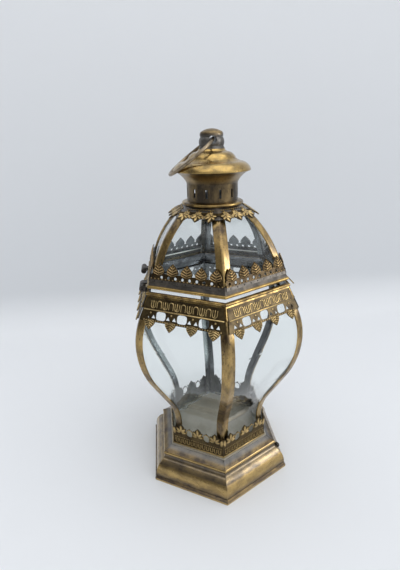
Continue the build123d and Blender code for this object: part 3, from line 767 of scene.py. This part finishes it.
# %% Cresting relief
LID_LEAN = 17.1
rim_swell = 1.305 * MM
rim_rise = 2.9 * MM
strip_skin = Matrix.Translation((0, 0, 0.75 * MM))
crest_plane = strip_plane(lid_high.x - rim_swell, lid_low.z + rim_rise, LID_LEAN) @ strip_skin
crest_leaf = (10.8 * MM, 11.2 * MM, 0.6 * MM)
crest_stalk = 9.8 * MM
crest_pitch = 13.4 * MM
crest_beads = 7.0 * MM
dot_line = 4.7 * MM
dress_sides(
    "crest_relief", "lid", pressed_crest, crest_plane,
    [
        (leaf_motif, row(even_row(5, crest_pitch), crest_stalk, crest_leaf)),
        (bead_motif, row(even_row(20, pitch=3.5 * MM), crest_beads, size=(1.2, 0.8, 1))),
    ],
)
dress_sides(
    "lid_dots", "lid", dark_iron, crest_plane,
    [(bead_motif, row(even_row(9, pitch=7.5 * MM), dot_line, size=(0.9, 0.9, 0.5)))],
)

# %% [markdown]
# ### The glazing bead
# Inside the lid's wall a near-white bead holds the dome glass. Its near-white is a painted highlight along
# that edge, and it shows through the far panes as a thin line.

# %% Glazing bead
bead_rod = 0.75 * MM
bead_half = 59.9 * MM
bead_height = 223.4 * MM
bead_end_gap = 1.2 * MM
glazing_motif = bar("glazing", 2 * (bead_half * HALF_SIDE - bead_end_gap), bead_rod, ALONG)
# The bead's near-white finish is a painted highlight.
dress_sides(
    "glazing_bead", "lid", tin_highlight, strip_plane(bead_half, bead_height, 0),
    [(glazing_motif, [at(0, 0)])],
)

# %% [markdown]
# ### The collar's lace
# Below the body's rim runs a band of hooks, one up and one down in turn, with a stem in each upright one. A
# ledge closes the band, and pierced leaves hang below it on a beaded garland.

# %% Lace relief
COLLAR_FLARE = 24.0
collar_low, collar_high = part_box("body_collar")
lace_plane = strip_plane(collar_high.x, collar_low.z, COLLAR_FLARE) @ strip_skin
lace_leaf = (10.2 * MM, -9.6 * MM, 0.6 * MM)
lace_places = even_row(4, pitch=20.4 * MM)
hook_pitch = 11.6 * MM
hook_places = even_row(6, hook_pitch)
ledge_end_gap = 2.0 * MM
ledge_motif = bar("ledge", 2 * (collar_high.x * HALF_SIDE - ledge_end_gap), 0.62 * MM, ALONG)
dress_sides(
    "lace_relief", "base", pressed_leaf, lace_plane,
    [
        (leaf_motif, row(lace_places, up=-8.4 * MM, size=lace_leaf)),
        (hook_motif, row(hook_places, up=3.2 * MM)),
        (hook_motif, row(even_row(5, hook_pitch), up=5.6 * MM, turn=180)),
        (stem_motif, row(hook_places, up=4.8 * MM)),
        (bead_motif, row(hook_places, up=2.4 * MM)),
        (ledge_motif, [at(0, up=-0.6 * MM)]),
        (bead_motif, row(even_row(32, pitch=2.35 * MM), up=-10.0 * MM)),
        (bead_motif, row(lace_places, up=-3.2 * MM, size=(1.4, 1.4, 1))),
    ],
)

# %% [markdown]
# ### The gallery
# The strip round the foot of the glass stands upright on a round bead. Over a band of small hooks and beads
# it has three palmettes on a side, with an arch between each two. A petal on either side and a drop of solder
# close each corner.

# %% Gallery relief
gallery_low, gallery_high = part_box("gallery")
gallery_bead = 0.9 * MM
gallery_plane = strip_plane(gallery_high.x - gallery_bead, gallery_low.z, 0)
gallery_pitch = 19.0 * MM
arch_places = even_row(2, gallery_pitch)
arch_sink = -0.4 * MM
corner_petals = 26.2 * MM
corner_solder = 26.4 * MM
foot_motif = bar("foot_bead", 2 * gallery_high.x * HALF_SIDE, gallery_bead + 0.08 * MM, ALONG)
dress_sides(
    "gallery_relief", "base", pressed_gallery, gallery_plane,
    [
        (lobe_motif, fans(even_row(3, gallery_pitch), up=16.4 * MM, size=1.35)),
        (foot_motif, [at(0, up=gallery_bead)]),
        (small_hook_motif, row(even_row(12, pitch=4.4 * MM), up=4.4 * MM)),
        (bead_motif, row(even_row(26, pitch=2.05 * MM), up=9.8 * MM)),
        (arch_motif, row(arch_places, up=18.4 * MM, out=arch_sink, turn=180)),
        (bead_motif, row(arch_places, up=22.2 * MM, size=(1.4, 1.4, 1.6), out=arch_sink)),
        (lobe_motif, [
            at(corner_petals * side, up=12.4 * MM, size=(1.7, 1.5, 1.2), turn=-5 * side) for side in (-1, 1)
        ]),
        (bead_motif, [at(corner_solder, up=16.6 * MM, size=(5.0, 3.4, 4.4), out=-2.6 * MM)]),
    ],
)

# %% [markdown]
# ### The crown's leaves
# The leaves round the crown lie on its slope. Palmettes hang from the edge, with smaller ones between and
# above them and a row of beads at the top.

# %% Crown relief
CROWN_SLOPE = 32.0
crown_low, crown_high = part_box("crown")
crown_sheet = 1.1 * MM / cos(radians(CROWN_SLOPE))
crown_plane = strip_plane(crown_high.x, crown_low.z + crown_sheet, 90 - CROWN_SLOPE) @ strip_skin
crown_pitch = 12.6 * MM
crown_places = even_row(3, crown_pitch)
dress_sides(
    "crown_relief", "lid", pressed_leaf, crown_plane,
    [
        (lobe_motif, fans(crown_places, up=2.2 * MM, size=1.15, down=True)),
        (lobe_motif, fans(even_row(3, pitch=10.6 * MM), up=3.4 * MM, size=0.7)),
        (bead_motif, row(crown_places, up=2.8 * MM, size=(1.5, 1.5, 1.6))),
        (lobe_motif, fans(even_row(2, crown_pitch), up=1.4 * MM, size=0.62, down=True)),
        (bead_motif, row(even_row(12, pitch=2.2 * MM), up=8.6 * MM, size=(0.9, 0.9, 1))),
    ],
)

# %% [markdown]
# ### The cap's moulding
# The cap's cone is not quite straight: it swells into a soft moulding. A torus is flattened into a lens that
# lies along the cone, full on its outer side and thin on its inner side, so that it stays inside the sheet.

# %% Cap moulding
cap_low, cap_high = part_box("vent_cap")
rim_height = 1.0 * MM
cone_set_in = 7.2 * MM
cone_rise = 6.6 * MM
swell = 1.3 * MM
sink = 0.3 * MM
downhill = Vector((cone_set_in, -cone_rise))
cone_half = downhill.length / 2
downhill.normalize()
off_cone = Vector((-downhill.y, downhill.x))
cone_middle = Vector((cap_high.x - cone_set_in / 2, cap_low.z + rim_height + cone_rise / 2))
bpy.ops.mesh.primitive_torus_add(
    major_radius=cone_middle.x, minor_radius=cone_half, major_segments=96, minor_segments=20,
    generate_uvs=False,
)
moulding = bpy.context.object
moulding.name = moulding.data.name = "cap_moulding"
for point in moulding.data.vertices:
    outward = Vector((point.co.x, point.co.y, 0))
    away = Vector((outward.length - cone_middle.x, point.co.z)) / cone_half
    full = away.dot(off_cone)
    lift = (swell if full > 0 else -sink) * full**2
    reach, height = cone_middle + downhill * away.dot(downhill) * cone_half + off_cone * lift
    point.co = (*(outward.normalized() * reach).xy, height)
bpy.ops.object.shade_smooth_by_angle(angle=radians(60))
moulding.data.materials.append(cap_gold)
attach(moulding, "lid")
print("moulding faces:", len(moulding.data.polygons))

# %% [markdown]
# ### Soldered corners
# The plinth's sheets meet in mitres, and a fine run of solder closes each one. Its path is read from the
# mitred end of one sheet: it follows the edges that an outer face shares with that end, from the foot to the
# gallery.

# %% The path of a solder run
UPWARD_SHARE = 0.2
FACING_LIMIT = 0.05


def seam_path(name, corner, inner, slack=0.4 * MM):
    """Points along the outer edge of a sheet's mitred end, as (distance from the axis, height) pairs."""
    mesh = nodes[name].data
    across = Vector((-corner.y, corner.x, 0))
    links = {}
    for face in mesh.polygons:
        ends = [
            (round(point.dot(corner), 6), round(point.z, 6))
            for point in (mesh.vertices[index].co for index in face.vertices)
            if abs(point.dot(across)) < slack and point.dot(corner) > inner
        ]
        outward = face.normal.dot(corner) + UPWARD_SHARE * face.normal.z
        if len(ends) == 2 and ends[0] != ends[1] and outward > FACING_LIMIT:
            for one, other in (ends, ends[::-1]):
                links.setdefault(one, set()).add(other)
    path = [min(links, key=lambda end: (end[1], -end[0]))]
    while True:
        onward = [end for end in links[path[-1]] if end not in path]
        if not onward:
            return path
        path.append(onward[0])


seam_rod = 0.5 * MM
front_corner = Vector((0, -1, 0))
seam = seam_path("plinth_side_6", front_corner, gallery_high.x * CORNER_REACH)
print("seam points:", len(seam), "from", seam[0], "to", seam[-1])

# %% [markdown]
# A curve through those points, given a round section and turned into a mesh, is one run. The other five are
# copies turned about the axis.

# %% Solder runs
bpy.ops.curve.primitive_bezier_curve_add()
run = bpy.context.object
run.data.splines.clear()
line = run.data.splines.new("POLY")
line.points.add(len(seam) - 1)
for point, (reach, height) in zip(line.points, seam):
    point.co = (*(front_corner * reach).xy, max(height, seam_rod), 1)
run.data.bevel_depth = seam_rod
run.data.bevel_resolution = 2
run.data.use_fill_caps = True
bpy.ops.object.convert(target="MESH")
for number in range(SIDES):
    piece = copies(run, [around(number)])[0]
    piece.name = piece.data.name = f"plinth_seam_{number + 1}"
    piece.data.materials.append(plinth_gold_and_shade)
    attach(piece, "base")
bpy.data.objects.remove(run)
print("faces of a run:", len(piece.data.polygons))

# %% [markdown]
# The motifs themselves have done their work, and they would show at the origin.

# %% Clear the motifs away
for motif in (
    leaf_motif, hook_motif, small_hook_motif, arch_motif, stem_motif, glazing_motif, ledge_motif, foot_motif,
    lobe_motif, bead_motif,
):
    bpy.data.objects.remove(motif)

# %% [markdown]
# ## Camera
# The photograph looks down at one corner of the lantern. The camera's place, aim and focal length were found
# by matching corners of the plinth and lid to the picture, so the render lines up with it. The plain view
# transform keeps the colours as the materials give them.

# %% Camera
eye = Vector((-0.0472, -0.3613, 0.3430))
aim = Vector((0.0862, 0.9297, -0.3582)).normalized()
right = Vector((0.9943, -0.1024, -0.0265)).normalized()
picture_height = 570
focal_pixels = 391.1
bpy.ops.object.camera_add()
camera = bpy.context.object
camera.data.lens = focal_pixels / picture_height * camera.data.sensor_width
up = right.cross(aim)
turn = Matrix((right, up, -aim)).transposed().to_4x4()
camera.matrix_world = Matrix.Translation(eye) @ turn
camera.data.clip_start = 0.01
bpy.context.scene.camera = camera
bpy.context.scene.view_settings.view_transform = "Standard"
print("lens:", round(camera.data.lens, 2), "mm")

# %% [markdown]
# ## Floor and light
# The set is a pale paper sweep: a floor that bends up into a wall behind the lantern. It is one plane whose
# back edge is spun up through a quarter turn and then pulled up. Seen from behind it is clear, so the
# lantern can be looked at from every side.

# %% Paper sweep
floor_reach = 9.0
sweep_back = 0.30
sweep_bend = 0.07
wall_rise = 2.5
bpy.ops.object.select_all(action="DESELECT")
bpy.ops.mesh.primitive_plane_add(size=2)
sweep = bpy.context.object
sweep.name = "paper_sweep"
bpy.ops.transform.resize(value=(floor_reach, (floor_reach + sweep_back) / 2, 1))
bpy.ops.transform.translate(value=(0, (sweep_back - floor_reach) / 2, 0))
bpy.ops.object.transform_apply(location=True, rotation=True, scale=True)
choose(sweep, "EDGE", lambda middle: middle.y > sweep_back - 1e-6)
bpy.ops.mesh.spin(steps=16, angle=pi / 2, center=(0, sweep_back, sweep_bend), axis=(-1, 0, 0))
bpy.ops.mesh.extrude_region_move(TRANSFORM_OT_translate={"value": (0, 0, wall_rise)})
bpy.ops.object.mode_set(mode="OBJECT")
bpy.ops.object.shade_smooth()
print("top of the paper:", round(max(point.co.z for point in sweep.data.vertices), 3))

# %% [markdown]
# The paper is matt and pale, a little darker low on the wall, where less light falls in the photograph.


# %% Paper
def paper():
    """Matt pale paper, clear from behind."""
    material, tree, surface = start_material("pale_paper")
    pale = height_mask(tree, [(0, 1.0), (12, 0.85), (60, 0.62), (250, 0.75), (600, 1.0), (2500, 1.0)])
    tree.links.new(
        mix_colors(tree, pale, (0.55, 0.575, 0.60, 1), (0.80, 0.81, 0.825, 1)), surface.inputs["Base Color"]
    )
    surface.inputs["Roughness"].default_value = 0.6
    clear = add_node(tree, "ShaderNodeBsdfTransparent")
    side = add_node(tree, "ShaderNodeNewGeometry")
    either = add_node(
        tree, "ShaderNodeMixShader",
        {0: side.outputs["Backfacing"], 1: surface.outputs[0], 2: clear.outputs[0]},
    )
    tree.links.new(either.outputs[0], tree.nodes["Material Output"].inputs["Surface"])
    return material


sweep.data.materials.append(paper())

# %% [markdown]
# The light is soft and comes mostly from the right and above. The world is brighter on that side, which bent
# metal shows as long gradients. The camera itself sees an even pale grey past the paper.

# %% World
world = bpy.data.worlds.new("studio")
bpy.context.scene.world = world
world.use_nodes = True
tree = world.node_tree
sky = tree.nodes["Background"]
sky.inputs["Color"].default_value = (0.90, 0.93, 0.97, 1)
bright_side = Vector((0.88, -0.10, 0.45)).normalized()
dim, bright = 0.2, 1.3
gaze = add_node(tree, "ShaderNodeTexCoord").outputs["Generated"]
toward = add_node(tree, "ShaderNodeVectorMath", {0: gaze, 1: bright_side}, operation="DOT_PRODUCT")
glow = add_node(
    tree, "ShaderNodeMapRange",
    {"Value": toward.outputs["Value"], "From Min": -0.5, "From Max": 0.95, "To Min": dim, "To Max": bright},
    interpolation_type="SMOOTHSTEP",
)
tree.links.new(glow.outputs[0], sky.inputs["Strength"])
seen_sky = add_node(tree, "ShaderNodeBackground", {"Color": (0.66, 0.685, 0.715, 1), "Strength": 1.0})
ray = add_node(tree, "ShaderNodeLightPath")
either = add_node(
    tree, "ShaderNodeMixShader", {0: ray.outputs["Is Camera Ray"], 1: sky.outputs[0], 2: seen_sky.outputs[0]}
)
tree.links.new(either.outputs[0], tree.nodes["World Output"].inputs["Surface"])
print("world strength from", dim, "to", bright)


# %% [markdown]
# Two square lamps do the rest: a large one overhead for the floor and the soft shadow, and a small one on the
# right.

# %% Lamps
LANTERN_MIDDLE = Vector((0, 0, 0.15))


def softbox(name, place, size, power):
    """Square area lamp that looks at the middle of the lantern."""
    bpy.ops.object.light_add(type="AREA", location=place)
    lamp = bpy.context.object
    lamp.name = name
    lamp.data.size = size
    lamp.data.energy = power
    lamp.rotation_euler = (LANTERN_MIDDLE - Vector(place)).to_track_quat("-Z", "Y").to_euler()
    return lamp


overhead_box = softbox("overhead_box", (0.0, -0.1, 1.7), size=2.4, power=17.5)
right_box = softbox("right_box", (1.45, -0.6, 0.6), size=0.55, power=6.5)
print("lamps in watts:", overhead_box.data.energy, right_box.data.energy)

# %% [markdown]
# The lamp on the right makes the glints on metal. In the panes it would be a white patch, so it is linked to
# the metal alone.

# %% Light linking
metal = bpy.data.collections.new("metal_pieces")
for piece in bpy.context.scene.objects:
    if piece.type == "MESH" and piece.data.materials[0] not in (window_glass, sweep.data.materials[0]):
        metal.objects.link(piece)
right_box.light_linking.receiver_collection = metal
